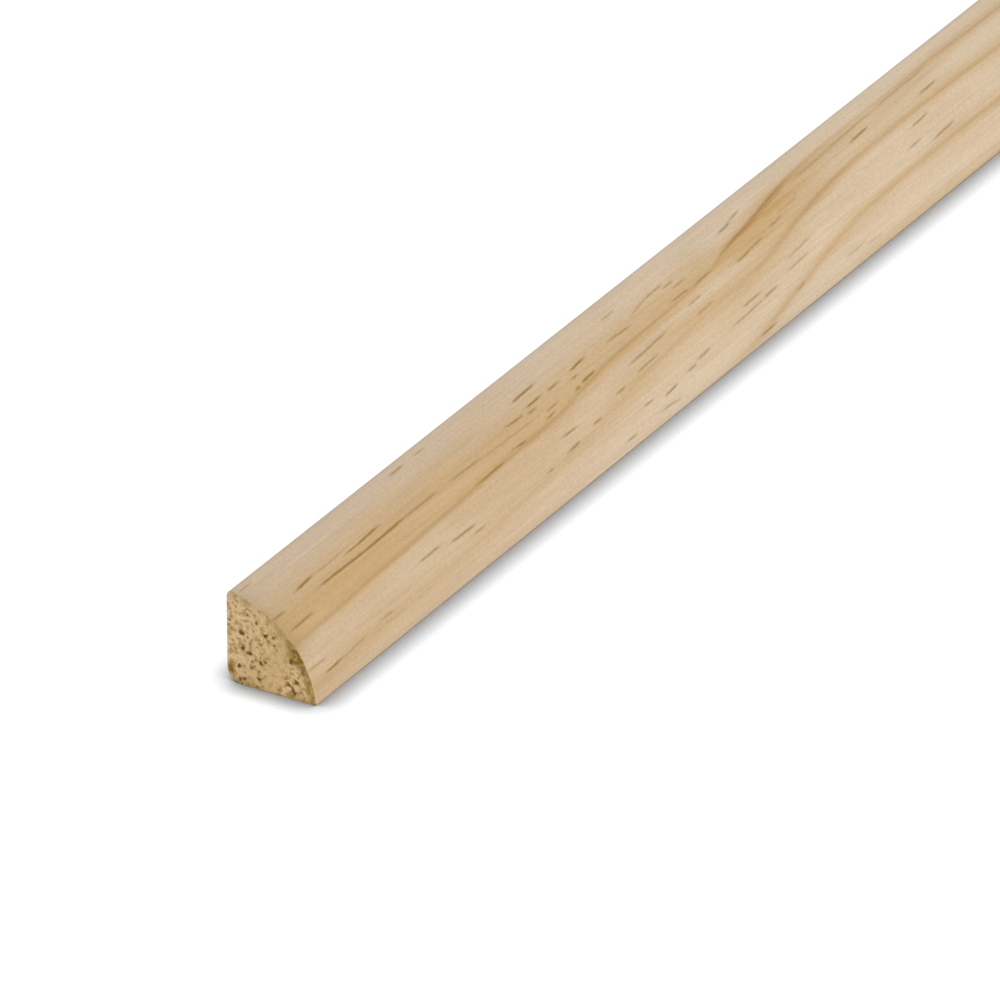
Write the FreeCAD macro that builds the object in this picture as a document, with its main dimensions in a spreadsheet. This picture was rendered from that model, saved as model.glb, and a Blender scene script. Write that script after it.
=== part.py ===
import FreeCAD
import Part
import Sketcher
import math
import os

# A length of quarter round moulding, run from one stick of pine. It lies on its floor flat with its
# wall flat upright: +Y along the grain, +X from the wall flat to the toe, +Z up.
# The origin is under the middle of the stick, at the centre of the floor flat's width.

# Driving dimensions in millimetres: alias, value and what it measures.
DIMENSIONS = (
    ("floor_leg", 19.05, "width across the floor flat, wall to toe, 3/4 in"),
    ("wall_leg", 19.05, "height up the wall flat, floor to top, 3/4 in"),
    ("curve_rise", 4.8, "rise of the curved face over the chord from toe to top"),
    ("back_corner_radius", 3.2, "round where the two flats meet, to clear a rough room corner"),
    ("top_arris_radius", 1.2, "easing of the long edge where the curved face meets the wall flat"),
    ("toe_arris_radius", 0.2, "easing of the long edge where the curved face meets the floor flat"),
    ("stock_length", 2438.4, "length as sold, 8 ft"),
)

NODE = "quarter_round"


def make_sheet(doc):
    """The spreadsheet that drives the model, one aliased cell for each dimension."""
    sheet = doc.addObject("Spreadsheet::Sheet", "dims")
    for row, (alias, value, meaning) in enumerate(DIMENSIONS, start=1):
        sheet.set(f"A{row}", alias)
        sheet.set(f"B{row}", str(value))
        sheet.set(f"C{row}", meaning)
        sheet.setAlias(f"B{row}", alias)
    doc.recompute()
    return sheet


def origin_plane(body, role):
    """One of the body's own origin planes, by its role."""
    return next(f for f in body.Origin.OriginFeatures if f.Role == role)


def make_section(body, sheet):
    """The section across the grain: two flats at a right angle, closed by one arc from toe to top."""
    sketch = body.newObject("Sketcher::SketchObject", "section")
    sketch.AttachmentSupport = [(origin_plane(body, "XZ_Plane"), "")]
    sketch.MapMode = "FlatFace"

    back = FreeCAD.Vector(-sheet.floor_leg / 2, 0, 0)
    toe = FreeCAD.Vector(sheet.floor_leg / 2, 0, 0)
    top = FreeCAD.Vector(-sheet.floor_leg / 2, sheet.wall_leg, 0)
    chord = top - toe
    outward = FreeCAD.Vector(chord.y, -chord.x, 0).normalize()
    crown = (toe + top) / 2 + outward * sheet.curve_rise

    floor = sketch.addGeometry(Part.LineSegment(back, toe))
    wall = sketch.addGeometry(Part.LineSegment(top, back))
    curve = sketch.addGeometry(Part.Arc(toe, crown, top))
    # How a constraint names an edge's two ends and the sketch's own origin.
    start, end = 1, 2
    origin = (-1, 1)
    sketch.addConstraint(
        [
            Sketcher.Constraint("Coincident", wall, end, floor, start),
            Sketcher.Constraint("Coincident", floor, end, curve, start),
            Sketcher.Constraint("Coincident", curve, end, wall, start),
            Sketcher.Constraint("Horizontal", floor),
            Sketcher.Constraint("Vertical", wall),
            Sketcher.Constraint("Symmetric", floor, start, floor, end, *origin),
        ]
    )
    # An arc's radius is half its chord squared plus its rise squared, over twice its rise.
    bend = "((dims.floor_leg^2 + dims.wall_leg^2) / 4 + dims.curve_rise^2) / (2 * dims.curve_rise)"
    sizes = (
        ("across", "DistanceX", (floor, start, floor, end), sheet.floor_leg, "dims.floor_leg"),
        ("upright", "DistanceY", (wall, end, wall, start), sheet.wall_leg, "dims.wall_leg"),
        ("bend", "Radius", (curve,), sketch.Geometry[curve].Radius, bend),
    )
    for name, kind, where, value, formula in sizes:
        number = sketch.addConstraint(Sketcher.Constraint(kind, *where, value))
        sketch.renameConstraint(number, name)
        sketch.setExpression(f"Constraints.{name}", formula)
    return sketch


def long_edge(feature, x, z):
    """Name of the feature's edge whose two ends lie nearest to (x, z) of the section: a long edge there."""

    def miss(numbered):
        return max(math.hypot(vertex.X - x, vertex.Z - z) for vertex in numbered[1].Vertexes)

    number, _ = min(enumerate(feature.Shape.Edges, start=1), key=miss)
    return f"Edge{number}"


def ease_edge(body, label, base, place, size):
    """A fillet along the long edge at the given place of the section."""
    fillet = body.newObject("PartDesign::Fillet", label)
    fillet.Base = (base, [long_edge(base, *place)])
    fillet.setExpression("Radius", size)
    body.Document.recompute()
    return fillet


def make_moulding(doc, sheet):
    """The stick: the section run along the grain, then its long edges eased and its ends left sawn."""
    body = doc.addObject("PartDesign::Body", NODE)
    body.Label = NODE
    section = make_section(body, sheet)
    doc.recompute()

    stick = body.newObject("PartDesign::Pad", "stick")
    stick.Profile = section
    stick.SideType = "Symmetric"
    stick.setExpression("Length", "dims.stock_length")
    section.Visibility = False
    doc.recompute()

    half_leg = sheet.floor_leg / 2
    back, toe, top = (-half_leg, 0), (half_leg, 0), (-half_leg, sheet.wall_leg)
    cornered = ease_edge(body, "back_corner", stick, back, "dims.back_corner_radius")
    topped = ease_edge(body, "top_arris", cornered, top, "dims.top_arris_radius")
    ease_edge(body, "toe_arris", topped, toe, "dims.toe_arris_radius")
    return body


def check(doc, bodies):
    """Stops the build if any object failed, or a body isn't one sound solid."""
    for item in doc.Objects:
        if {"Invalid", "Error"} & set(item.State):
            raise RuntimeError(f"{item.Label} failed: {item.State}")
    for body in bodies:
        shape = body.Shape
        if shape.isNull() or not shape.isValid() or len(shape.Solids) != 1:
            raise RuntimeError(f"{body.Label} is not one valid solid")


def main():
    doc = FreeCAD.newDocument("quarter_round_moulding")
    sheet = make_sheet(doc)
    bodies = [make_moulding(doc, sheet)]
    doc.recompute()
    check(doc, bodies)
    os.makedirs("parts", exist_ok=True)
    for body in bodies:
        body.Shape.exportStep(f"parts/{body.Label}.step")
        box = body.Shape.BoundBox
        print(
            f"{body.Label}: {box.XLength:.2f} x {box.YLength:.2f} x {box.ZLength:.2f} mm, "
            f"{body.Shape.Volume / 1000:.1f} cm3"
        )


main()
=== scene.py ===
import functools
import math
import bpy
import numpy as np
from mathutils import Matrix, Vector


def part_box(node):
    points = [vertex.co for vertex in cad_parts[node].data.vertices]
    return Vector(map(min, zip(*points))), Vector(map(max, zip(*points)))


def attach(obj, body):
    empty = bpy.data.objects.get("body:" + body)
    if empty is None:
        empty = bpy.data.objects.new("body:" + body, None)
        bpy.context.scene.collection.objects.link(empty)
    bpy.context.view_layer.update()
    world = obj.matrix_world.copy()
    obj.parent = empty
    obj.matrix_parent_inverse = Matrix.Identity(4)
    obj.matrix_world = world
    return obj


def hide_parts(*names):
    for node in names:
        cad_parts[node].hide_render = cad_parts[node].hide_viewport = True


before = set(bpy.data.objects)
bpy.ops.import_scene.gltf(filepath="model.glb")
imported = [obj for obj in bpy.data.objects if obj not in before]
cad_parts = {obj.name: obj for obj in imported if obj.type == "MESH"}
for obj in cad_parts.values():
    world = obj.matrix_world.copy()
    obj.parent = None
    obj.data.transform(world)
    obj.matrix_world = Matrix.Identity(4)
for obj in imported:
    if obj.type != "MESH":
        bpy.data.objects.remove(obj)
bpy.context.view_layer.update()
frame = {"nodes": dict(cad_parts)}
print("frame loaded:", ", ".join(frame["nodes"]))

# Sizes are in millimetres, and become metres where a mesh, a texture or the camera is made.
mm = 0.001
wallFlat, nearEnd, floorFlat = (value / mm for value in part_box("quarter_round")[0])
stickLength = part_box("quarter_round")[1].y / mm - nearEnd

# The section is drawn as distances out from the wall flat and up from the floor flat.
quarterRound = {
    "leg": 19.05,  # each flat, wall to toe and floor to top, before its edges are eased
    "curveRise": 4.8,  # of the curved face over the chord from toe to top
    "backCornerRadius": 3.2,
    "topArrisRadius": 1.2,
    "toeArrisRadius": 0.2,
    "heart": (7.6, 7.0),  # the point of each end face that its mesh closes on
    "outlineStep": 0.3,  # mesh spacing round the section
    "figuredLength": 270,  # the stretch from the near end that is meshed finely
    "figuredStep": 1.5,
    "figuredFade": 20,  # the last of that stretch, where strewn canals set in
    "plainStep": 20,
    "endRings": 54,
    # distance from a sawn end, and how far in its edge is worn there
    "endEasing": ((0, 0.08), (0.16, 0.015), (0.5, 0)),
    "sharpAngle": 60,  # degrees between two faces, from which their edge is shaded sharp
}


def linePoints(start, finish, step):
    # a straight run from start towards finish, its points at most step apart, finish itself left out
    start, finish = np.array(start), np.array(finish)
    count = math.ceil(np.linalg.norm(finish - start) / step)
    return start + (finish - start) * np.linspace(0, 1, count, endpoint=False)[:, None]


def arcPoints(centre, radius, start, finish, step):
    # points on a circle from the angle start to the angle finish, at most step apart and at least four,
    # the last left out
    count = max(4, math.ceil(abs(finish - start) * radius / step))
    angle = np.linspace(start, finish, count, endpoint=False)
    return np.array(centre) + radius * np.stack([np.cos(angle), np.sin(angle)], 1)


def curvedFace(size):
    # The arc's radius is the square of half its chord plus the square of its rise, over twice its rise. Its
    # centre is as far out as it is up. The third value is the angle at which it would meet the wall flat.
    leg, rise = size["leg"], size["curveRise"]
    bend = (leg**2 / 2 + rise**2) / (2 * rise)
    middle = leg / 2 + (rise - bend) / math.sqrt(2)
    return bend, middle, math.atan2(leg - middle, -middle)


def curveFall(out, up):
    # How far down the curved face a point lies from where the face would meet the wall flat: the arc's
    # radius times the angle between them.
    bend, middle, topAngle = curvedFace(quarterRound)
    return bend * (topAngle - np.arctan2(up - middle, out - middle))


def sectionOutline(size):
    # Two flats at a right angle closed by a flattened arc, gone round floor, toe, curve, top, wall, back.
    step, back = size["outlineStep"], size["backCornerRadius"]
    top, toe = size["topArrisRadius"], size["toeArrisRadius"]
    bend, middle, _ = curvedFace(size)
    # an easing touches its flat and, from inside, the arc, which gives its centre's distance along the flat
    topReach, toeReach = (middle + math.sqrt((bend - r) ** 2 - (r - middle) ** 2) for r in (top, toe))
    low = math.atan2(toe - middle, toeReach - middle)
    high = math.atan2(topReach - middle, top - middle)
    runs = (
        linePoints((back, 0), (toeReach, 0), step),
        arcPoints((toeReach, toe), toe, -math.pi / 2, low, step),
        arcPoints((middle, middle), bend, low, high, step),
        arcPoints((top, topReach), top, high, math.pi, step),
        linePoints((0, topReach), (0, back), step),
        arcPoints((back, back), back, math.pi, math.pi * 3 / 2, step),
    )
    outline = np.vstack(runs)
    # the curve and its two easings have a fall, the rest has none
    curved = np.repeat([False, True, True, True, False, False], [len(run) for run in runs])
    fall = np.where(curved, curveFall(outline[:, 0], outline[:, 1]), np.nan)
    ahead = np.roll(outline, -1, 0) - np.roll(outline, 1, 0)
    outward = np.stack([ahead[:, 1], -ahead[:, 0]], 1) / np.linalg.norm(ahead, axis=1)[:, None]
    return outline, outward, fall


def lengthRows(size):
    # Rows of the mesh from end to end: how far along the stick, how much of the outline's size the row has,
    # which grows from nothing on the near end face and shrinks on the far one, and how far its edge is worn.
    eased = np.array(size["endEasing"])
    figured = np.arange(size["figuredStep"], size["figuredLength"], size["figuredStep"])
    plain = np.arange(size["figuredLength"], stickLength - size["plainStep"] / 2, size["plainStep"])
    run = np.concatenate([eased[:, 0], figured, plain, stickLength - eased[::-1, 0]])
    worn = np.concatenate([eased[:, 1], 0 * figured, 0 * plain, eased[::-1, 1]])
    grown = np.arange(1, size["endRings"]) / size["endRings"]
    along = np.concatenate([0 * grown, run, 0 * grown + stickLength])
    share = np.concatenate([grown, 0 * run + 1, grown[::-1]])
    worn = np.concatenate([0 * grown + eased[0, 1], worn, 0 * grown + eased[0, 1]])
    return along, share, worn


def atKnots(value, knots):
    # straight from knot to knot, and level before the first and after the last
    return np.interp(value, *zip(*knots))


def bell(away):
    # 1 at no distance, and e to the power of minus its square at any other
    return np.exp(-(away**2))


def smoothRise(value, start, finish):
    # 0 up to start, 1 from finish on, and a smooth step between
    share = np.clip((value - start) / (finish - start), 0, 1)
    return share * share * (3 - 2 * share)


def smoothNoise(u, v, seed):
    # random heights from 0 to 1 on a unit lattice that repeats, blended between its corners by smooth steps
    lattice = 64
    heights = np.random.default_rng(seed).random((lattice, lattice))
    iu, iv = np.floor(u).astype(int), np.floor(v).astype(int)
    fu, fv = smoothRise(u - iu, 0, 1), smoothRise(v - iv, 0, 1)

    def corner(du, dv):
        return heights[(iu + du) % lattice, (iv + dv) % lattice]

    low = corner(0, 0) * (1 - fu) + corner(1, 0) * fu
    high = corner(0, 1) * (1 - fu) + corner(1, 1) * fu
    return low * (1 - fv) + high * fv


def pastFigured(along):
    # 0 on the figured stretch, rising evenly to 1 at twice its length
    return np.clip(along / quarterRound["figuredLength"] - 1, 0, 1)


# How the stick lies in the tree. Its pith is outside the section, and the grain runs a little askew.
tree = {
    "pith": (-43.4, 27.0),  # out and up from the back corner
    "ringWidth": 6.5,  # of the rings whose edges aren't given below
    # Ring edges that cross the curved face: distance from the near end, and how far down the face each lies.
    "edgeFalls": {
        0: (
            (0, 17.0), (15, 16.6), (30, 16.0), (45, 15.6), (60, 15.2), (80, 14.6), (98, 14.3), (106, 13.4),
            (112, 12.8), (118, 12.1), (130, 11.8), (140, 11.6), (150, 11.4), (160, 10.8), (168, 9.1),
            (180, 7.8), (190, 6.5), (198, 5.5), (212, 4.6), (228, 4.5), (260, 4.5),
        ),
        1: (
            (0, 25.8), (20, 25.0), (60, 23.6), (85, 22.3), (100, 21.2), (110, 20.1), (120, 19.0),
            (130, 17.9), (140, 17.2), (150, 16.7), (160, 16.4), (175, 15.8), (182, 14.9), (190, 13.6),
            (200, 12.2), (210, 11.4), (220, 10.9), (260, 11.0),
        ),
        2: (
            (0, 37.0), (100, 33.0), (140, 30.0), (165, 27.6), (172, 26.2), (180, 24.5), (188, 23.3),
            (195, 22.0), (207, 20.4), (225, 19.7), (260, 19.6),
        ),
    },
    # beyond those: distance from the near end, and how far the grain has drifted from there towards the pith
    "drift": (
        (260, 0), (420, -3.4), (640, 1.6), (900, -1.4), (1250, 4.6), (1600, 0.6), (2000, 3.6), (2440, -1.4),
    ),
    "bendBlur": 11,  # the length over which the corners of these runs are rounded off
    "waver": (9.0, 70.0, 1.6),  # across, along and how far the rings waver beyond the figured stretch
    "waverSeed": 5,
    # How each edge looks as it runs along the stick: distance from the near end, where in its ring the tan
    # late wood starts and where it is full, how deep the tan is, how dark the line at the edge is, how much
    # of the next ring the tan takes to fade, and how deep it is there at first.
    "edgeLooks": {
        -2: (
            (0, 0.5, 1, 0, 0, 0.25, 0), (250, 0.5, 1, 0, 0, 0.25, 0), (300, 0.5, 1, 0.42, 0.2, 0.25, 0.42),
        ),
        -1: (
            (0, 0.2, 1.2, 0.36, 0, 1, 0), (60, 0.2, 1.2, 0.36, 0, 1, 0), (98, 0.3, 1.4, 0.25, 0, 1, 0),
            (130, 0.4, 1.6, 0.15, 0, 1, 0), (165, 0.5, 1.6, 0, 0, 1, 0), (250, 0.5, 1, 0, 0, 0.25, 0),
            (300, 0.5, 1, 0.42, 0.2, 0.25, 0.42),
        ),
        0: (
            (0, -0.55, 0.4, 0.52, 0.15, 0.12, 0.45), (30, -0.55, 0.4, 0.45, 0.32, 0.15, 0.45),
            (60, -0.55, 0.4, 0.45, 0.32, 0.2, 0.45), (80, -0.5, 0.5, 0.45, 0.32, 0.2, 0.45),
            (98, -0.5, 0.6, 0.45, 0.25, 0.3, 0.4), (112, -0.4, 0.8, 0.48, 0.32, 0.4, 0.48),
            (125, -0.3, 0.95, 0.52, 0.35, 0.42, 0.56), (145, -0.3, 0.95, 0.5, 0.32, 0.5, 0.57),
            (154, -0.2, 0.95, 0.5, 0.3, 0.55, 0.58), (160, -0.2, 0.95, 0.5, 0.1, 0.6, 0.6),
            (165, 0.25, 1, 0.45, 0.2, 0.8, 0.7), (170, 0.5, 1, 0.42, 0.6, 1.15, 0.72),
            (180, 0.5, 1, 0.48, 0.7, 1.6, 0.72), (190, 0.5, 1, 0.5, 0.75, 1.6, 0.76),
            (200, 0.7, 1, 0.35, 0.25, 1.4, 0.68), (212, 0.8, 1, 0.2, 0.2, 1.25, 0.5),
            (230, 0.8, 1, 0.15, 0.1, 1.3, 0.38), (270, 0.6, 1, 0.3, 0.3, 0.3, 0.5),
        ),
        1: (
            (0, 0.6, 1, 0.3, 0.15, 0.5, 0.3), (30, 0.7, 1, 0.2, 0.12, 0.4, 0.2),
            (60, 0.7, 1, 0.12, 0.1, 0.4, 0.12), (90, 0.7, 1, 0.14, 0.1, 0.35, 0.14),
            (115, 0.3, 0.95, 0.25, 0.1, 0.35, 0.22), (140, 0.1, 0.9, 0.36, 0.15, 0.35, 0.33),
            (150, 0.3, 0.85, 0.44, 0.15, 0.38, 0.38), (160, 0.3, 0.95, 0.42, 0.15, 0.4, 0.38),
            (170, 0.5, 0.97, 0.47, 0.15, 0.4, 0.4), (180, 0.7, 0.95, 0.5, 0.2, 0.5, 0.4),
            (190, 0.6, 0.95, 0.56, 0.25, 0.6, 0.4), (198, 0.2, 0.95, 0.46, 0.35, 0.45, 0.42),
            (207, 0.4, 1, 0.45, 0.35, 0.28, 0.45), (230, 0.45, 1, 0.42, 0.3, 0.25, 0.4),
            (270, 0.6, 1, 0.4, 0.25, 0.3, 0.4),
        ),
        2: (
            (0, 0.8, 1, 0, 0, 0.3, 0), (150, 0.8, 1, 0.1, 0.05, 0.3, 0.1),
            (170, 0.75, 1, 0.35, 0.25, 0.25, 0.3), (207, 0.75, 1, 0.32, 0.15, 0.25, 0.3),
            (270, 0.7, 1, 0.4, 0.25, 0.25, 0.4),
        ),
    },
    "otherEdge": (0.5, 1, 0.42, 0.2, 0.25, 0.42),  # the same for every other edge, all along the stick
    "trace": (0.25, 0.7),  # of the tan after an edge, a share that takes this much of the ring to fade
    # the cool grey where the wood is least warm, at the top of the curve, is partly a painted sheen
    "warmReach": (47, 63),  # distances from the pith at which the wood starts to be warm and is warmest
    # how pale the wood is, by its distance from the near end
    "paleRun": ((0, 0), (60, 0.1), (115, 0.6), (150, 0.75), (200, 0.95), (230, 1)),
    # beyond the figured stretch: how much less pale at most, patches from cool to warm, and their length
    "paleDrift": (0.7, 2, 150),
    "paleSeed": 8,
    "warmLoss": 0.25,  # the share of its paleness that the warmest wood lacks
    "toePale": (0.25, 64, 67),  # how much paler it is by the toe, between these distances from the pith
}


def pithReach(out, up):
    # how far a point of the section lies from the pith
    return np.hypot(out - tree["pith"][0], up - tree["pith"][1])


def alongRun(knots, along):
    # Straight from knot to knot, then averaged over a short length so that no corner is left. The weights
    # rise and fall smoothly, without the two zeros at their ends.
    steps = np.arange(0, math.ceil(stickLength) + 1)
    blur = np.hanning(tree["bendBlur"] + 2)[1:-1]
    level = np.pad(atKnots(steps, knots), tree["bendBlur"] // 2, mode="edge")
    return np.interp(along, steps, np.convolve(level, blur / blur.sum(), mode="valid"))


def ringNumber(out, up, along):
    # Counts rings outwards: a whole number at each given edge, even steps between two of them, and beyond
    # them one for each ring width. An edge is as far from the pith as the point where it meets the face.
    bend, middle, topAngle = curvedFace(quarterRound)
    reach = pithReach(out, up) + alongRun(tree["drift"], along)
    across, lengthwise, amount = tree["waver"]
    turn = np.arctan2(up - tree["pith"][1], out - tree["pith"][0]) * reach
    waver = (smoothNoise(turn / across, along / lengthwise, tree["waverSeed"]) - 0.5) * amount
    reach = reach + waver * pastFigured(along)
    angles = [topAngle - alongRun(knots, along) / bend for knots in tree["edgeFalls"].values()]
    edges = [pithReach(middle + bend * np.cos(angle), middle + bend * np.sin(angle)) for angle in angles]
    number = (reach - edges[0]) / tree["ringWidth"]
    for count, edge in enumerate(edges):
        after = edges[count + 1] - edge if count + 1 < len(edges) else tree["ringWidth"]
        number = np.where(reach > edge, count + (reach - edge) / after, number)
    return number


def ringFigure(ring, along):
    # The edge that closes a point's ring gives the rise of its tan, the edge that opened the ring gives how
    # the tan before it fades, and the nearer of the two gives the line.
    closing = np.ceil(ring).astype(int)
    nearest = np.round(ring).astype(int)
    looks = np.repeat(np.array(tree["otherEdge"])[:, None], ring.size, 1)
    for edge, knots in tree["edgeLooks"].items():
        places, *values = np.array(knots).T
        whose = (closing == edge,) * 3 + (nearest == edge,) + (closing == edge + 1,) * 2
        for look, value, those in zip(looks, values, whose):
            look[those] = np.interp(along[those], places, value)
    start, full, depth, line, fadeShare, fadeDepth = looks
    share = ring - np.floor(ring)
    rise = depth * smoothRise(share, start, full)
    lasting, slowShare = tree["trace"]
    slow = lasting * (1 - smoothRise(share, 0, slowShare))
    fade = fadeDepth * np.maximum(1 - smoothRise(share, 0, fadeShare), slow)
    return np.maximum(rise, fade), line


def ringTone(out, up, along):
    # How warm the wood is, from 0 to 1, goes with its distance from the pith, which runs from the cool, grey
    # top of the curve to its warm lower part: partly the wood's own tone and partly a painted sheen on the
    # top. How pale it is goes with the distance along the stick, and drifts beyond the figured stretch. It is
    # less pale where it is warmest, but a little paler by the toe.
    reach = pithReach(out, up)
    start, finish = tree["warmReach"]
    warm = np.clip((reach - start) / (finish - start), 0, 1)
    amount, across, lengthwise = tree["paleDrift"]
    drift = amount * smoothNoise(warm * across, along / lengthwise, tree["paleSeed"])
    pale = atKnots(along, tree["paleRun"]) - pastFigured(along) * drift
    amount, start, finish = tree["toePale"]
    return warm, pale * (1 - tree["warmLoss"] * warm) + amount * smoothRise(reach, start, finish)


# Resin canals that the cutter laid open on the curved face, mostly from the near end on:
# from and to along the stick, how far down the curve each end lies, and how dark the canal is.
canals = (
    (11, 18.5, 8.8, 8.3, 1.0), (28, 43, 9.2, 8.8, 0.95), (16, 36, 10.85, 11.1, 0.95),
    (30, 51, 11.1, 10.7, 1.0), (48, 62, 10.75, 10.8, 0.6), (66, 78, 10.8, 10.9, 0.5),
    (18, 32, 8.5, 8.3, 0.3), (0.5, 5, 10.5, 10.5, 0.7), (2, 11.5, 14.25, 14.0, 0.8),
    (6, 12.5, 25.1, 24.8, 1.0), (12, 22, 24.8, 24.3, 0.45), (0.5, 8, 22.5, 22.6, 0.45),
    (44, 53, 19.4, 19.3, 0.7), (55, 65.5, 20.3, 20.5, 0.75), (27, 32, 23.7, 23.7, 0.5),
    (63, 68, 22.0, 21.9, 0.5), (56, 62, 2.1, 2.0, 0.65), (66, 69, 1.9, 1.9, 0.45),
    (71, 83, 14.65, 14.4, 0.75), (86.5, 91, 13.5, 13.9, 0.75), (89, 96, 9.2, 9.6, 0.75),
    (96.5, 100, 10.0, 9.95, 0.75), (96, 106, 6.2, 5.8, 0.95), (97.5, 104.5, 8.8, 8.6, 0.95),
    (91.5, 94.5, 21.6, 21.6, 0.7), (99.5, 103.5, 13.1, 12.9, 0.7), (101.5, 106.5, 11.95, 11.8, 0.7),
    (106, 111, 8.8, 8.6, 0.8), (113.5, 116.5, 10.0, 9.9, 0.75), (115.5, 122, 8.45, 7.95, 0.95),
    (112, 115, 12.25, 12.0, 1.0), (115.5, 121.5, 11.8, 11.4, 0.95), (100.5, 106.5, 17.85, 18.0, 0.75),
    (122.5, 125.5, 17.8, 17.75, 0.7), (111, 114.5, 19.7, 19.65, 0.75), (100.5, 105.5, 20.95, 20.7, 0.8),
    (129.5, 139, 8.45, 8.8, 0.6), (134.5, 139.5, 4.2, 4.1, 0.45), (147, 156, 6.4, 6.1, 0.5),
    (153.5, 159, 7.0, 7.05, 0.55), (156, 162, 8.25, 8.2, 0.55), (152.5, 160.5, 10.2, 10.35, 0.6),
    (161.5, 169, 10.5, 10.3, 0.65), (129.5, 147, 14.95, 14.2, 0.65), (130.5, 140, 17.15, 16.75, 0.6),
    (155.5, 162, 13.05, 12.9, 0.5), (176.5, 183, 12.3, 12.0, 0.65), (180.5, 189, 11.9, 11.5, 0.5),
    (170, 178.5, 20.3, 20.0, 0.65), (164, 179, 22.1, 21.6, 0.5), (178, 184, 21.5, 21.2, 0.65),
    (190, 201, 18.2, 17.45, 0.45), (188, 198, 20.25, 19.75, 0.4), (127.5, 132.5, 23.5, 23.5, 0.55),
    (136, 141.5, 24.65, 24.2, 0.8), (145, 149.5, 23.5, 23.45, 0.6), (149.5, 156, 22.85, 22.6, 0.65),
    (119.5, 123.5, 27.4, 27.4, 0.8), (133, 141, 26.85, 27.2, 0.55), (179, 185.5, 5.25, 4.75, 0.7),
    (185, 190, 4.4, 3.95, 0.6), (192, 198, 10.8, 10.3, 0.5), (230, 239, 7.5, 7.1, 0.85),
    (209, 218, 26.0, 25.9, 0.4), (218, 224, 26.8, 26.9, 0.3), (248, 256, 13.0, 12.6, 0.6),
    (252, 262, 17.8, 17.3, 0.7), (243, 249, 16.2, 16.0, 0.5), (258, 266, 8.6, 8.3, 0.7),
    (209, 226, 6.1, 5.6, 0.35), (222, 246, 5.6, 4.9, 0.4), (243, 268, 4.95, 4.5, 0.4),
    (173, 180, 27.9, 27.7, 0.8), (189, 193, 24.9, 24.4, 0.5), (141, 149, 7.4, 6.2, 0.4),
    (76, 99, 11.15, 11.55, 0.3), (197, 206, 9.6, 9.2, 0.3), (0.9, 6.2, 1.6, 1.6, 0.45),
    (156, 164, 15.6, 15.25, 0.4), (184.5, 195, 8.4, 7.1, 0.3), (193, 205.5, 7.4, 5.9, 0.35),
)
# How the canals are drawn.
canalLook = {
    "along": (0.958, -0.8),  # scale and start at which the places above are laid along the face
    "down": (0.955, 0.8),  # and down it
    "reach": 0.5,  # how far to each side a canal is looked for
    "tail": 0.2,  # of its length, over which a canal fades at each end
    "run": 3.0,  # how far beyond its ends a canal's line is carried on, with no darkness
    "far": 9.0,  # the distance given to a point that no canal is near
    "offCurve": 99,  # the fall given to a point that isn't on the curve
    "groove": (0.015, 0.3),  # how deep a canal is pressed in, and how far to each side
}


def canalFigure(along, fall):
    # For each point the signed distance down the curve to the canal that counts there, and its darkness,
    # which rises from 0 at one end of the canal to its full value and falls again to 0 at the other.
    # The darkest canal in reach counts, and where none is dark, the nearest line.
    scale, first = canalLook["along"]
    along = (along - first) / scale
    scale, first = canalLook["down"]
    fall = (fall - first) / scale
    far, run = canalLook["far"], canalLook["run"]
    offset = np.full(np.broadcast(along, fall).shape, far)
    depth = np.zeros(offset.shape)
    for start, finish, startFall, finishFall, darkness in canals:
        span = finish - start
        away = fall - (startFall + (finishFall - startFall) * (along - start) / span)
        tail = np.minimum(along - start, finish - along) / (span * canalLook["tail"])
        strength = np.broadcast_to(darkness * np.clip(tail, 0, 1), offset.shape)
        reached = (along > start - run) & (along < finish + run) & (np.abs(away) < canalLook["reach"])
        nearer = (depth == 0) & (np.abs(away) < np.abs(offset))
        chosen = reached & ((strength > depth) | nearer)
        offset[chosen] = away[chosen]
        depth[chosen] = strength[chosen]
    # The outline goes up the curve. Where the next point up belongs to the next canal, neither is dark, as a
    # false canal would show where the distance passes through 0 between them.
    jump = (offset[:, :-1] < 0) & (offset[:, 1:] > 0) & (offset[:, 1:] < far)
    depth[:, :-1][jump] = 0
    depth[:, 1:][jump] = 0
    return offset, depth
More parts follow.
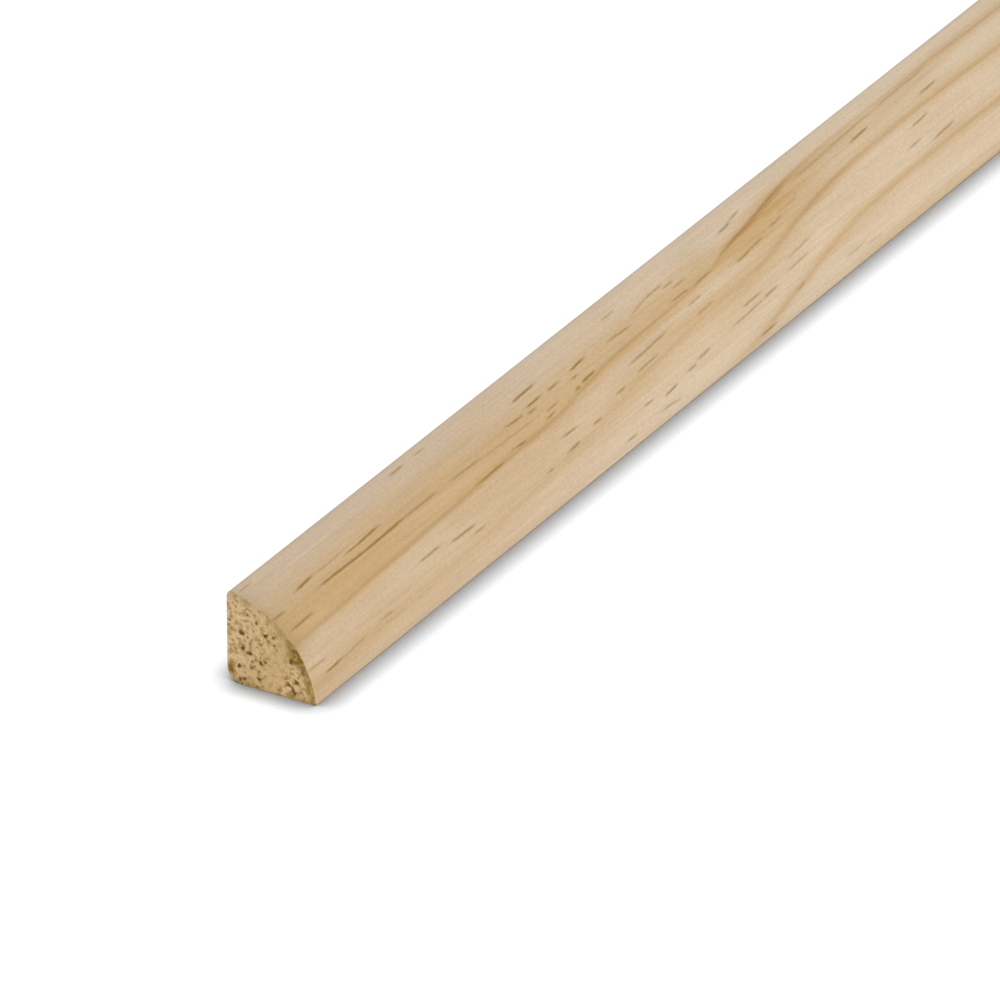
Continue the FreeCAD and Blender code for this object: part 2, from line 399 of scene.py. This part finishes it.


# The sawn ends: torn early wood with pits, browner in places, with painted contact shade along the lower
# edge.
sawnEnd = {
    # each pit's place out and up from the back corner, its radius and its depth
    "pits": (
        (3.2, 10.8, 0.45, 1.0), (4.4, 10.3, 0.45, 0.6), (5.1, 8.8, 0.4, 0.6), (3.4, 7.5, 0.6, 1.0),
        (3.5, 8.3, 0.4, 0.6), (4.9, 7.1, 0.7, 1.0), (2.4, 3.7, 0.45, 1.0), (5.4, 5.3, 0.4, 0.6),
        (7.3, 5.4, 0.6, 0.9), (8.1, 6.0, 0.5, 0.7), (5.2, 3.9, 0.5, 0.6), (5.9, 4.4, 0.45, 0.6),
        (6.7, 2.2, 0.55, 0.85), (2.6, 1.1, 0.55, 0.8), (3.7, 1.3, 0.6, 0.8), (8.25, 11.4, 0.55, 1.0),
        (9.8, 11.4, 0.5, 0.75), (9.0, 10.5, 0.4, 0.6), (7.2, 9.5, 0.5, 0.65), (10.05, 9.9, 0.4, 0.65),
        (6.2, 13.6, 0.5, 0.85), (4.2, 14.9, 0.45, 0.6), (5.5, 15.1, 0.35, 0.5), (4.8, 15.9, 0.4, 0.5),
        (1.95, 17.2, 0.3, 0.6), (6.4, 8.4, 0.4, 0.5), (1.2, 10.8, 0.4, 0.5), (13.9, 7.7, 0.7, 0.7),
        (14.85, 3.7, 0.5, 0.8), (14.3, 3.1, 0.35, 0.5), (13.0, 2.8, 0.45, 0.75), (13.9, 1.95, 0.55, 0.85),
        (14.5, 1.45, 0.5, 0.8), (15.7, 1.6, 0.4, 0.6), (8.7, 15.4, 0.35, 0.5), (10.3, 12.7, 0.35, 0.4),
        (7.35, 0.75, 0.4, 0.5), (10.8, 1.0, 0.5, 0.5), (13.5, 5.3, 0.45, 0.4), (16.1, 6.0, 0.5, 0.6),
        (0.4, 12.9, 0.35, 0.8), (0.4, 11.8, 0.35, 0.8),
    ),
    "loosePits": 170,  # smaller and shallower ones, strewn over the early wood
    "looseRadius": (0.25, 0.55),
    "looseDepth": (0.2, 0.6),
    "pitDepth": 0.22,
    "pitWarp": (0.8, 0.65),  # how far apart and how far pits are pulled out of round
    "tornShare": (0.45, 0.75),  # the shares of its ring up to which wood is torn, and from which it is whole
    "tornDepth": 0.12,  # how much lower the torn early wood lies than the late wood
    "tornSize": 0.8,  # across one lump of that relief
    "farShift": 9,  # moves that relief on the far end, so that the two ends differ
    "edgeHold": (6, 0.85),  # the relief lessens with this power of how far out a row lies, by this much
    "calm": 0.65,  # how much less of it is torn by the top, where a point lies this much further up than out
    "calmRise": (7, 11),
    "seed": 11,  # the first of a few in a row
    "darkerBeside": (0.26, 3.4),  # how much darker and browner the face is beside each end, and how far in that reaches
    "darkerBesideFalls": ((1.5, 0.4), (4.5, 1), (18.5, 1), (21, 0)),  # the share of it that far down the curve
    # the brown band inside the arc: how far down the curve, and its depth or its width there
    "bandDepths": (
        (1, 0.1), (4, 0.2), (7, 0), (9, 0), (11.5, 0.3), (14, 0.35), (16, 0.6), (18, 1.05), (20, 1.1),
        (21.5, 0.75), (24, 0.64), (28.5, 0.58),
    ),
    "bandWidths": (
        (1, 1.2), (6, 1), (10, 0.5), (14, 0.6), (17, 1.35), (19, 1.8), (20.5, 1.6), (22, 0.9), (28, 0.8),
    ),
    "bandFull": 0.8,  # how far in from the arc the band is at its full depth
    # the brown back corner: its middle out and up, its reach out and up, and its depth
    "cornerPlace": (0.7, 2.7),
    "cornerReach": (0.8, 1.2),
    "cornerDepth": 1.4,
    # painted contact shade along the lower edge, where the end stands on the floor: how far out, and its
    # depth or its reach up there
    "lowerShadeDepths": ((1, 0.3), (2.5, 0.6), (5, 0.6), (8, 0.35), (12, 0.35), (17, 0.5), (18.5, 0.8)),
    "lowerShadeReaches": ((1, 1.3), (5, 1.3), (8, 0.5), (12, 0.5), (14, 1.2)),
    # the feathered fibres by the top: how far down the curve, and the share of the face's colour there
    "feather": ((0, 0.5), (4, 0.5), (8.5, 0.6), (11, 0)),
    "featherReach": 1.0,  # how far in from the arc they reach
}


def tornPits(out, up, torn, placed, seed):
    # Each pit is deepest at its middle and falls off as a bell with the distance; the deepest one counts.
    # Noise, with a seed of its own each way, pulls the pits out of round.
    random = np.random.default_rng(seed)
    leg, count = quarterRound["leg"], sawnEnd["loosePits"]
    loose = np.column_stack([random.random((count, 2)) * leg, random.uniform(*sawnEnd["looseRadius"], count),
                             random.uniform(*sawnEnd["looseDepth"], count)])
    apart, pull = sawnEnd["pitWarp"]
    warpedOut = out + (smoothNoise(out / apart, up / apart, seed + 3) - 0.5) * pull
    warpedUp = up + (smoothNoise(out / apart, up / apart, seed + 4) - 0.5) * pull
    depth = np.zeros(out.shape)
    for pits, share in ((placed, 1), (loose, torn)):
        for pitOut, pitUp, radius, deepest in pits:
            away = np.hypot(warpedOut - pitOut, warpedUp - pitUp) / radius
            depth = np.maximum(depth, share * deepest * bell(away))
    return depth


def endShadeAndBrowning(out, up):
    # Darker brown lies in a band inside the arc, widest in its lower half, and in the back corner; along the
    # lower edge, where the end stands on the floor, it is painted contact shade.
    # Each is full at its own line and falls off as a bell with the distance from it. By the top the fibres
    # are feathered, and the end takes on some of the curved face's colour.
    bend, middle, _ = curvedFace(quarterRound)
    inward = bend - np.hypot(out - middle, up - middle)
    fall = curveFall(out, up)
    past = np.maximum(inward - sawnEnd["bandFull"], 0)
    band = atKnots(fall, sawnEnd["bandDepths"]) * bell(past / atKnots(fall, sawnEnd["bandWidths"]))
    (cornerOut, cornerUp), (wide, high) = sawnEnd["cornerPlace"], sawnEnd["cornerReach"]
    corner = sawnEnd["cornerDepth"] * bell((out - cornerOut) / wide) * bell((up - cornerUp) / high)
    # painted contact shade along the lower edge
    lower = atKnots(out, sawnEnd["lowerShadeDepths"]) * bell(up / atKnots(out, sawnEnd["lowerShadeReaches"]))
    feather = atKnots(fall, sawnEnd["feather"]) * bell(inward / sawnEnd["featherReach"])
    return np.maximum.reduce([band, corner, lower]), feather


def tubeFaces(rows, columns):
    # The corners of a tube's faces, one face after another, and how many each face has. Neighbouring rows of
    # points are joined by quads all the way round, and the first and the last row are closed by triangles
    # with the two poles, which are the points after the grid.
    index = np.arange(rows * columns).reshape(rows, columns)
    nextColumn = np.roll(index, -1, 1)
    quads = np.stack([index[:-1], index[1:], nextColumn[1:], nextColumn[:-1]], -1).reshape(-1, 4)
    nearPole, farPole = rows * columns, rows * columns + 1
    nearFan = np.stack([0 * index[0] + nearPole, index[0], nextColumn[0]], -1)
    farFan = np.stack([0 * index[-1] + farPole, nextColumn[-1], index[-1]], -1)
    corners = np.concatenate([quads.ravel(), nearFan.ravel(), farFan.ravel()])
    sides = np.concatenate([np.full(len(quads), 4), np.full(2 * columns, 3)])
    return corners, sides


def withPoles(grid, near, far):
    # the values of a grid's points, row by row, then those of its near and its far pole
    return np.append(np.ravel(grid), [near, far])


# How the faces are laid out for baking, in shares of the sheet.
bakeSheet = {
    "strips": 3,  # the long faces are cut in this many, laid one above another
    "stripHeight": 0.24,
    "stripFill": 0.96,  # of that height, the rest is a margin
    "endSize": 0.26,  # of the square that each end face has above the strips
    "endMargin": 0.01,
}


def bakeLayout(outline, along, onSide, flat, far, corners):
    # A long face lies in its strip by its shares of the strip's length and of the way round the section. The
    # end faces lie flat, each in its own square.
    rows, columns, strips = len(along), len(outline), bakeSheet["strips"]
    closed = np.vstack([outline, outline[:1]])
    around = np.append(0, np.cumsum(np.linalg.norm(np.diff(closed, axis=0), axis=1)))
    cuts = np.searchsorted(along, stickLength * np.arange(1, strips) / strips)
    cutAt = np.concatenate([[0], along[cuts], [stickLength]])
    strip = np.searchsorted(cuts, np.arange(rows - 1), side="right")
    begins, ends = cutAt[strip], cutAt[strip + 1]
    u = np.stack([along[:-1], along[1:], along[1:], along[:-1]], 1)
    u = (u - begins[:, None]) / (ends - begins)[:, None]
    u = np.repeat(u[:, None, :], columns, 1)
    v = np.stack([around[:-1], around[:-1], around[1:], around[1:]], 1) / around[-1]
    v = (v[None] * bakeSheet["stripFill"] + strip[:, None, None]) * bakeSheet["stripHeight"]
    square, margin = bakeSheet["endSize"], bakeSheet["endMargin"]
    flat = flat * (square - 2 * margin) + margin
    flatU = flat[:, 0] + far * square
    flatV = flat[:, 1] + strips * bakeSheet["stripHeight"]
    uv = np.stack([flatU[corners], flatV[corners]], 1)
    onLong = onSide[:-1] & onSide[1:]
    quadUv = uv[: (rows - 1) * columns * 4].reshape(rows - 1, columns, 4, 2)
    quadUv[onLong] = np.stack([u, v], -1)[onLong]
    return uv


def meshFromFaces(name, place, corners, sides, attributes, uv):
    # One object from its points, the corners of its faces, a value per point for each attribute, and a place
    # on the bake sheet per corner.
    mesh = bpy.data.meshes.new(name)
    mesh.vertices.add(len(place))
    mesh.vertices.foreach_set("co", (place * mm).astype(np.float32).ravel())
    mesh.loops.add(len(corners))
    mesh.loops.foreach_set("vertex_index", corners.astype(np.int32))
    mesh.polygons.add(len(sides))
    mesh.polygons.foreach_set("loop_start", (np.cumsum(sides) - sides).astype(np.int32))
    mesh.update(calc_edges=True)
    for label, values in attributes.items():
        layer = mesh.attributes.new(label, "FLOAT", "POINT")
        layer.data.foreach_set("value", values.astype(np.float32).ravel())
    bakeLayer = mesh.uv_layers.new(name="OFBake")
    bakeLayer.uv.foreach_set("vector", uv.astype(np.float32).ravel())
    mesh.shade_smooth()
    mesh.set_sharp_from_angle(angle=math.radians(quarterRound["sharpAngle"]))
    made = bpy.data.objects.new(name, mesh)
    bpy.context.scene.collection.objects.link(made)
    return made


def quarterRoundStick(size):
    # The section's outline carried along the grain, drawn in to the heart on both end faces.
    outline, outward, fall = sectionOutline(size)
    along, share, worn = lengthRows(size)
    rows, columns = len(along), len(outline)
    heart = np.array(size["heart"])
    section = outline - outward * worn[:, None, None]
    section = heart + (section - heart) * share[:, None, None]
    onEnd = (along == 0) | (along == stickLength)
    onSide = share == 1
    offCurve = np.isnan(fall)

    # resin canals, pressed a little into the curved face; off the figured stretch the finish strews its own
    canalOffset, canalDepth = canalFigure(along[:, None], np.where(offCurve, canalLook["offCurve"], fall))
    canalDepth = canalDepth * onSide[:, None]
    grooveDepth, grooveReach = canalLook["groove"]
    groove = grooveDepth * canalDepth * bell(canalOffset / grooveReach)
    section = section - outward * groove[:, :, None]
    beyond = smoothRise(along, size["figuredLength"] - size["figuredFade"], size["figuredLength"])
    strewn = np.maximum(offCurve * 1.0, beyond[:, None]) * onSide[:, None]

    out = withPoles(section[:, :, 0], heart[0], heart[0])
    up = withPoles(section[:, :, 1], heart[1], heart[1])
    length = withPoles(np.repeat(along, columns), 0, stickLength)
    ring = ringNumber(out, up, length)
    tan, line = ringFigure(ring, length)
    warm, pale = ringTone(out, up, length)

    # The sawn ends: early wood torn below the late wood, with pits, all of it let into the stick. The far
    # end has every other placed pit, mirrored, and loose ones of its own.
    start, finish = sawnEnd["tornShare"]
    torn = 1 - np.clip((ring - np.floor(ring) - start) / (finish - start), 0, 1)
    torn = torn * (1 - sawnEnd["calm"] * smoothRise(up - out, *sawnEnd["calmRise"]))
    ended = withPoles(np.repeat(onEnd, columns), True, True)
    far = length > stickLength / 2
    placed, seed, apart = sawnEnd["pits"], sawnEnd["seed"], sawnEnd["tornSize"]
    near = tornPits(out, up, torn, placed, seed)
    mirrored = tornPits(size["leg"] - up, size["leg"] - out, torn, placed[::2], seed + 1)
    pit = np.where(far, mirrored, near) * ended
    power, hold = sawnEnd["edgeHold"]
    inside = withPoles(np.repeat(1 - share**power * hold, columns), 1, 1)
    coarse = smoothNoise(out / apart + far * sawnEnd["farShift"], up / apart, seed + 2)
    sunk = (sawnEnd["pitDepth"] * pit + sawnEnd["tornDepth"] * torn * coarse) * inside * ended
    # browner parts of the ends with their painted contact shade, and the face darker beside each end
    shadeAndBrowning, feather = endShadeAndBrowning(out, up)
    amount, spread = sawnEnd["darkerBeside"]
    darkerBeside = amount * np.exp(-np.minimum(along, stickLength - along) / spread)
    darkerBeside = darkerBeside[:, None] * atKnots(np.where(offCurve, 0, fall), sawnEnd["darkerBesideFalls"])
    shadeAndBrowning = np.where(ended, shadeAndBrowning, withPoles(darkerBeside, 0, 0))

    place = np.stack([wallFlat + out, nearEnd + length + np.where(far, -sunk, sunk), floorFlat + up], 1)
    attributes = {
        "ring": ring,
        "tan": tan,
        "line": line,
        "warm": warm,
        "pale": pale,
        "canalOffset": withPoles(canalOffset, canalLook["far"], canalLook["far"]),
        "canalDepth": withPoles(canalDepth, 0, 0),
        "strewn": withPoles(strewn, 0, 0),
        "sawn": ended.astype(float),
        "pit": pit,
        "shadeAndBrowning": shadeAndBrowning,
        "feather": feather,
    }
    corners, sides = tubeFaces(rows, columns)
    uv = bakeLayout(outline, along, onSide, np.stack([out, up], 1) / size["leg"], far, corners)
    stick = meshFromFaces("pine_quarter_round", place, corners, sides, attributes, uv)
    print("stick:", rows, "rows of", columns, "points,", len(stick.data.polygons), "faces")
    return stick


def linearColour(hexValue):
    # an sRGB channel is divided by 12.92 when dark, or else raised to 2.4 after its offset of 0.055
    channels = np.array([int(hexValue[at:at + 2], 16) for at in (1, 3, 5)]) / 255
    linear = np.where(channels <= 0.04045, channels / 12.92, ((channels + 0.055) / 1.055) ** 2.4)
    return (*linear.tolist(), 1.0)


def addNode(nodeTree, kind, inputs=None, **settings):
    # one node: its settings by name, and for each input, by name or number, a value or the output it takes
    made = nodeTree.nodes.new(kind)
    for name, value in settings.items():
        setattr(made, name, value)
    for socket, value in (inputs or {}).items():
        if isinstance(value, bpy.types.NodeSocket):
            nodeTree.links.new(value, made.inputs[socket])
        else:
            made.inputs[socket].default_value = value
    return made


def mathNode(nodeTree, operation, *values, clamp=False):
    # a sum, a product or another operation on its values, held to 0 to 1 on request
    return addNode(nodeTree, "ShaderNodeMath", dict(enumerate(values)), operation=operation,
                   use_clamp=clamp).outputs[0]


def rangeNode(nodeTree, value, span, smooth=False):
    # carries a value from the span's first two levels to its last two, evenly or by a smooth step
    names = ("From Min", "From Max", "To Min", "To Max")
    return addNode(nodeTree, "ShaderNodeMapRange", {"Value": value, **dict(zip(names, span))},
                   interpolation_type="SMOOTHSTEP" if smooth else "LINEAR").outputs[0]


def mixNode(nodeTree, share, under, over, blend="MIX"):
    # a share of one colour over another; its colours are inputs 6 and 7, and the mixed colour is output 2
    return addNode(nodeTree, "ShaderNodeMix", {0: share, 6: under, 7: over}, data_type="RGBA",
                   blend_type=blend).outputs[2]


def nodeMakers(owner):
    # clears the nodes of a material or a world, and binds the four functions above to its tree
    owner.use_nodes = True
    owner.node_tree.nodes.clear()
    return [functools.partial(make, owner.node_tree) for make in (addNode, mathNode, rangeNode, mixNode)]


def grainSpace(add, place, across, along):
    # a place measured in a texture's own size across and along the grain
    scale = (1 / (across * mm), 1 / (along * mm), 1 / (across * mm))
    return add("ShaderNodeMapping", {"Vector": place, "Scale": scale}).outputs[0]


# Radiata pine, run through a moulder and sanded lightly, sold bare: pale early wood, tan late wood that ends
# at a sharp line, brown flecks where resin canals are cut open, and a dull surface with a faint sheen.
pine = {
    # early wood is cool and grey at the top of the curve, partly a painted sheen, and warm lower down
    "earlyWood": "#cdb699",
    "warmWood": "#caad87",
    "paleWood": "#d7c1a3",
    "tanWood": "#bc8f40",
    "lateLine": "#986b04",
    "canal": "#8f6a00",
    "endWood": "#debf90",
    "endLate": "#d2b07a",
    "endCrumb": "#ead0a8",
    # the browner parts of the ends and beside them, and the painted contact shade along the ends' lower edges
    "endBrown": "#b08c3e",
    "browningAndShade": "#8a6a1c",
    "endPit": "#6e5000",
    "roughness": 0.5,
    "sawnRoughness": 0.85,
    "sheen": 0.5,  # specular level of the planed faces
    "sawnSheen": 0.2,  # torn fibres catch less light
    "ior": 1.5,
    "bump": (0.35, 0.08),  # strength and height of the relief that the mesh leaves out
    "lineWidth": 0.4,  # the distance at which a ring line has lost all but 1/e of its darkness
    "canalWidth": 0.28,  # and a canal
    "strewnCell": (1.6, 26.0),  # across and along, the space that one strewn canal has to itself
    "strewnSize": 0.2,  # of its cell
    "strewnCore": 1 / 3,  # of that size, at full darkness
    "strewnShare": 0.7,  # of the cells that hold one
    # textures: size across the grain, size along it, and detail
    "textures": {
        "patch": (6.0, 35.0, 2.0),  # paler and rosier patches
        "streak": (1.1, 45.0, 2.0),  # bands of fibres within a ring
        "fibre": (0.45, 24.0, 2.0),  # bundles of fibres, drawn coarser than real ones so that they show
        "fuzz": (0.55, 0.8, 2.0),  # sanded nap
        "chatter": (9.0, 1.3, 1.0),  # knife marks across the grain
        "ragged": (0.5, 2.5, 1.0),  # breaks up the edges of lines and canals
        "crumb": (0.8, 0.8, 2.0),  # torn crumbs of wood on the sawn ends
        "clump": (1.2, 1.2, 2.0),  # clumps of crumbs
    },
    # what two levels of a texture or a mask are turned into
    "spans": {
        "streaks": (0.3, 0.7, 0.8, 1.2),  # times the tan
        "stray": (0, 1, -0.12, 0.12),  # millimetres by which lines and canals go astray
        "patches": (0.3, 0.7, -0.25, 0.25),  # added to the warmth, taken from the paleness
        "nap": (0.7, 1.3, 0.91, 1.09),  # times the colour of the planed faces
        "torn": (0.2, 0.6, 1.0, 0.35),  # the share of the sawn end that is torn, by its tan
        "hollow": (0.47, 0.61, 0, 0.85),  # cover of brown
        "crumbs": (0.5, 0.68, 0, 0.7),  # times the browning and the painted shade of the ends
        "lumps": (0.35, 0.65, 0.5, 1.4),  # times the brown that the saw left
        "broken": (0, 1, 0.2, -0.2),  # added to a pit's depth
        "pitted": (0.1, 0.8, 0, 1),  # cover of a pit's dark, by its depth
        "grit": (0.3, 0.7, 0.86, 1.14),  # times the colour of the sawn ends
        "sawn": (0.3, 0.6, 0, 1),  # cover of the sawn ends, which sharpens their mask
    },
}


def planedPine(wood):
    # The planed faces and the sawn ends are each coloured layer over layer, and the mask of the ends picks
    # between the two.
    material = bpy.data.materials.new("planed_radiata_pine")
    add, maths, spread, mix = nodeMakers(material)
    place = add("ShaderNodeTexCoord").outputs["Object"]
    given = {}
    for name in ("ring", "tan", "line", "warm", "pale", "canalOffset", "canalDepth", "strewn",
                 "sawn", "pit", "shadeAndBrowning", "feather"):
        given[name] = add("ShaderNodeAttribute", attribute_name=name).outputs["Fac"]
    grain = {}
    for name, (across, along, detail) in wood["textures"].items():
        sized = grainSpace(add, place, across, along)
        noise = add("ShaderNodeTexNoise", {"Vector": sized, "Scale": 1.0, "Detail": detail})
        grain[name] = noise.outputs["Fac"]
    colour = {name: linearColour(value) for name, value in wood.items() if str(value).startswith("#")}
    spans = wood["spans"]

    # tan late wood, in bands of fibres
    tan = maths("MULTIPLY", given["tan"], spread(grain["streak"], spans["streaks"]), clamp=True)

    # A line or a canal is darkest at its middle and falls off as a bell with the distance, a little ragged.
    # The ring number wraps to half a ring on each side of the nearest edge.
    stray = spread(grain["ragged"], spans["stray"])
    toEdge = maths("WRAP", given["ring"], 0.5, -0.5)
    toEdge = maths("MULTIPLY_ADD", toEdge, tree["ringWidth"], stray)
    toCanal = maths("ADD", given["canalOffset"], stray)
    dark = {}
    for name, away, width, depth in (("lateLine", toEdge, wood["lineWidth"], given["line"]),
                                     ("canal", toCanal, wood["canalWidth"], given["canalDepth"])):
        core = maths("DIVIDE", away, width)
        core = maths("POWER", math.exp(-1), maths("MULTIPLY", core, core))
        dark[name] = maths("MULTIPLY", core, depth)

    # strewn canals: one at the middle of each long cell that holds one, chosen by the cell's random colour
    cells = grainSpace(add, place, *wood["strewnCell"])
    cell = add("ShaderNodeTexVoronoi", {"Vector": cells, "Scale": 1.0}).outputs
    whole = wood["strewnSize"]
    strewn = spread(cell["Distance"], (whole * wood["strewnCore"], whole, 1, 0), smooth=True)
    chance = add("ShaderNodeSeparateColor", {0: cell["Color"]}).outputs[0]
    chance = spread(chance, (1 - wood["strewnShare"], 1, 0, 1))
    strewn = maths("MULTIPLY", maths("MULTIPLY", strewn, chance), given["strewn"])
    dark["canal"] = maths("MAXIMUM", dark["canal"], strewn)

    # planed faces: early wood, tan, ring line, canals and the darker brown beside the ends, each over the one
    # before
    patches = spread(grain["patch"], spans["patches"])
    warm = maths("ADD", given["warm"], patches, clamp=True)
    pale = maths("SUBTRACT", given["pale"], patches, clamp=True)
    # early wood from cool at the top of the curve, partly a painted sheen, to warm lower down
    face = mix(warm, colour["earlyWood"], colour["warmWood"])
    for name, cover in (("paleWood", pale), ("tanWood", tan), ("lateLine", dark["lateLine"]),
                        ("canal", dark["canal"]), ("browningAndShade", given["shadeAndBrowning"])):
        face = mix(cover, face, colour[name])

    # fibres and nap lighten and darken the wood by a few parts in a hundred
    nap = maths("ADD", grain["fibre"], grain["fuzz"])
    face = mix(1.0, face, spread(nap, spans["nap"]), blend="MULTIPLY")

    # sawn ends: brown hollows and pale crumbs, fewer in the late wood, browner in places, with painted
    # contact shade along the lower edge and ragged pits
    torn = spread(tan, spans["torn"])
    hollow = maths("MULTIPLY", spread(grain["clump"], spans["hollow"], smooth=True), torn)
    crumbs = maths("MULTIPLY", spread(grain["crumb"], spans["crumbs"]), torn)
    shadeAndBrowning = maths("MULTIPLY", given["shadeAndBrowning"], spread(grain["crumb"], spans["lumps"]), clamp=True)
    broken = maths("ADD", spread(grain["crumb"], spans["broken"]), given["pit"])
    pitted = spread(broken, spans["pitted"], smooth=True)
    end = mix(tan, colour["endWood"], colour["endLate"])
    for name, cover in (("endBrown", hollow), ("endCrumb", crumbs), ("browningAndShade", shadeAndBrowning), ("endPit", pitted)):
        end = mix(cover, end, colour[name])
    end = mix(torn, end, spread(grain["fuzz"], spans["grit"]), blend="MULTIPLY")
    end = mix(given["feather"], end, face)
    sawn = spread(given["sawn"], spans["sawn"])
    wholeColour = mix(sawn, face, end)
    dull = spread(sawn, (0, 1, wood["roughness"], wood["sawnRoughness"]))
    sheen = spread(sawn, (0, 1, wood["sheen"], wood["sawnSheen"]))

    # Relief too fine for the mesh: fibres, nap and knife marks on the planed faces, clumps on the ends. A mix
    # of plain numbers has them on inputs 2 and 3.
    marks = maths("ADD", grain["chatter"], nap)
    relief = add("ShaderNodeMix", {0: sawn, 2: marks, 3: grain["clump"]}, data_type="FLOAT").outputs[0]
    strength, height = wood["bump"]
    bump = add("ShaderNodeBump", {"Height": relief, "Strength": strength, "Distance": height * mm}).outputs[0]
    shader = add("ShaderNodeBsdfPrincipled", {"Base Color": wholeColour, "Roughness": dull, "Normal": bump,
                                              "IOR": wood["ior"], "Specular IOR Level": sheen})
    add("ShaderNodeOutputMaterial", {"Surface": shader.outputs[0]})
    return material


stick = quarterRoundStick(quarterRound)
stick.data.materials.append(planedPine(pine))
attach(stick, "root")
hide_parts("quarter_round")
print("pine finish applied")

# A white sweep under soft light. Seen directly it is white, and it keeps the stick's shadow.
studio = {
    "floorHalf": 40.0,  # metres
    "floorBounce": 0.8,  # share of light that the floor throws back on the stick
    "floorSeen": 0.3,  # share of light that it shows to the camera, the rest of its white is its own
    "floorWhite": 0.88,
    "floorGlow": "#fafcff",  # the colour of that white, a little cool
    "contactReach": 6.2,  # how far from the stick its contact shadow is felt
    "contactLean": -12.0,  # degrees by which the floor's outlook is turned, for more shadow along the toe
    "contactOpen": 0.53,  # the share of open sky under which that shadow is at its deepest
    "contactDepth": 0.0,  # what is left of the floor's own white there
    "contactSamples": 6,
    "skyLevel": 0.62,  # for what it lights
    "skySeen": 1.0,  # in the picture
    "skyColour": "#ffffff",
    "sunLevel": 1.35,
    "sunSize": 60.0,  # degrees, a very soft lamp
    "sunFrom": (0.75, -0.35, 0.5),
}


def seenShare(add, maths):
    # 1 for a ray that shows in the picture, straight or by way of a gloss or a glass, and 0 for any other
    rays = add("ShaderNodeLightPath").outputs
    seen = maths("MAXIMUM", rays["Is Camera Ray"], rays["Is Glossy Ray"])
    return maths("MAXIMUM", seen, rays["Is Transmission Ray"])


def whiteFloor(look):
    # Matt paint plus a glow of its own for the rays that show in the picture. The glow lessens evenly with
    # the share of open sky above the floor, which makes the contact shadow.
    half = look["floorHalf"]
    mesh = bpy.data.meshes.new("floor")
    corners = [(-half, -half, 0), (half, -half, 0), (half, half, 0), (-half, half, 0)]
    mesh.from_pydata(corners, [], [(0, 1, 2, 3)])
    floor = bpy.data.objects.new("floor", mesh)
    bpy.context.scene.collection.objects.link(floor)
    material = bpy.data.materials.new("matt_white_sweep")
    add, maths, spread, _ = nodeMakers(material)
    seen = seenShare(add, maths)
    grey = spread(seen, (0, 1, look["floorBounce"], look["floorSeen"]))
    paint = add("ShaderNodeBsdfDiffuse", {"Color": grey}).outputs[0]
    upward = add("ShaderNodeNewGeometry").outputs["Normal"]
    leaning = add("ShaderNodeVectorRotate", {"Vector": upward, "Angle": math.radians(look["contactLean"])},
                  rotation_type="Y_AXIS").outputs[0]
    clear = add("ShaderNodeAmbientOcclusion", {"Distance": look["contactReach"] * mm, "Normal": leaning},
                samples=look["contactSamples"]).outputs["AO"]
    glow = spread(clear, (look["contactOpen"], 1, look["contactDepth"], look["floorWhite"]))
    glow = maths("MULTIPLY", glow, seen)
    shine = add("ShaderNodeEmission", {"Color": linearColour(look["floorGlow"]), "Strength": glow}).outputs[0]
    both = add("ShaderNodeAddShader", {0: paint, 1: shine}).outputs[0]
    add("ShaderNodeOutputMaterial", {"Surface": both})
    mesh.materials.append(material)


def softLight(look):
    # an even sky, with one level for what it lights and one for the rays that show in the picture, and one
    # wide sun
    world = bpy.data.worlds.new("white_room")
    add, maths, spread, _ = nodeMakers(world)
    level = spread(seenShare(add, maths), (0, 1, look["skyLevel"], look["skySeen"]))
    sky = add("ShaderNodeBackground", {"Color": linearColour(look["skyColour"]), "Strength": level})
    add("ShaderNodeOutputWorld", {"Surface": sky.outputs[0]})
    bpy.context.scene.world = world
    lamp = bpy.data.lights.new("soft_sun", "SUN")
    lamp.energy = look["sunLevel"]
    lamp.angle = math.radians(look["sunSize"])
    sun = bpy.data.objects.new("soft_sun", lamp)
    sun.rotation_mode = "QUATERNION"
    sun.rotation_quaternion = Vector(look["sunFrom"]).to_track_quat("Z", "Y")
    bpy.context.scene.collection.objects.link(sun)


whiteFloor(studio)
softLight(studio)
print("floor and light set")

# The camera looks down on the near end from the toe's side, through a long lens.
view = {
    "azimuth": 30.56,  # degrees
    "elevation": 28.34,  # degrees
    "distance": 2168.0,
    "focalPixels": 12129.0,
    "frameWidth": 1000,  # pixels
    "sensor": 36.0,
    "aim": (48.43, 53.37),  # where the middle of the frame meets the plane of the near end, across and up
    "clipEnd": 100.0,  # metres
}


def longLensCamera(look):
    # The focal length in pixels, times the sensor's width over the frame's, is that of the lens. The camera
    # stands back from its aim along the direction that azimuth and elevation give.
    lens = bpy.data.cameras.new("long_lens")
    lens.sensor_width = look["sensor"]
    lens.lens = look["focalPixels"] * look["sensor"] / look["frameWidth"]
    lens.clip_end = look["clipEnd"]
    turn, lift = math.radians(look["azimuth"]), math.radians(look["elevation"])
    back = Vector((math.sin(turn) * math.cos(lift), -math.cos(turn) * math.cos(lift), math.sin(lift)))
    aim = Vector((look["aim"][0], nearEnd, look["aim"][1]))
    camera = bpy.data.objects.new("long_lens", lens)
    camera.location = (aim + back * look["distance"]) * mm
    camera.rotation_mode = "QUATERNION"
    camera.rotation_quaternion = back.to_track_quat("Z", "Y")
    bpy.context.scene.collection.objects.link(camera)
    bpy.context.scene.camera = camera


longLensCamera(view)
bpy.context.scene.view_settings.view_transform = "Standard"
print("camera set")
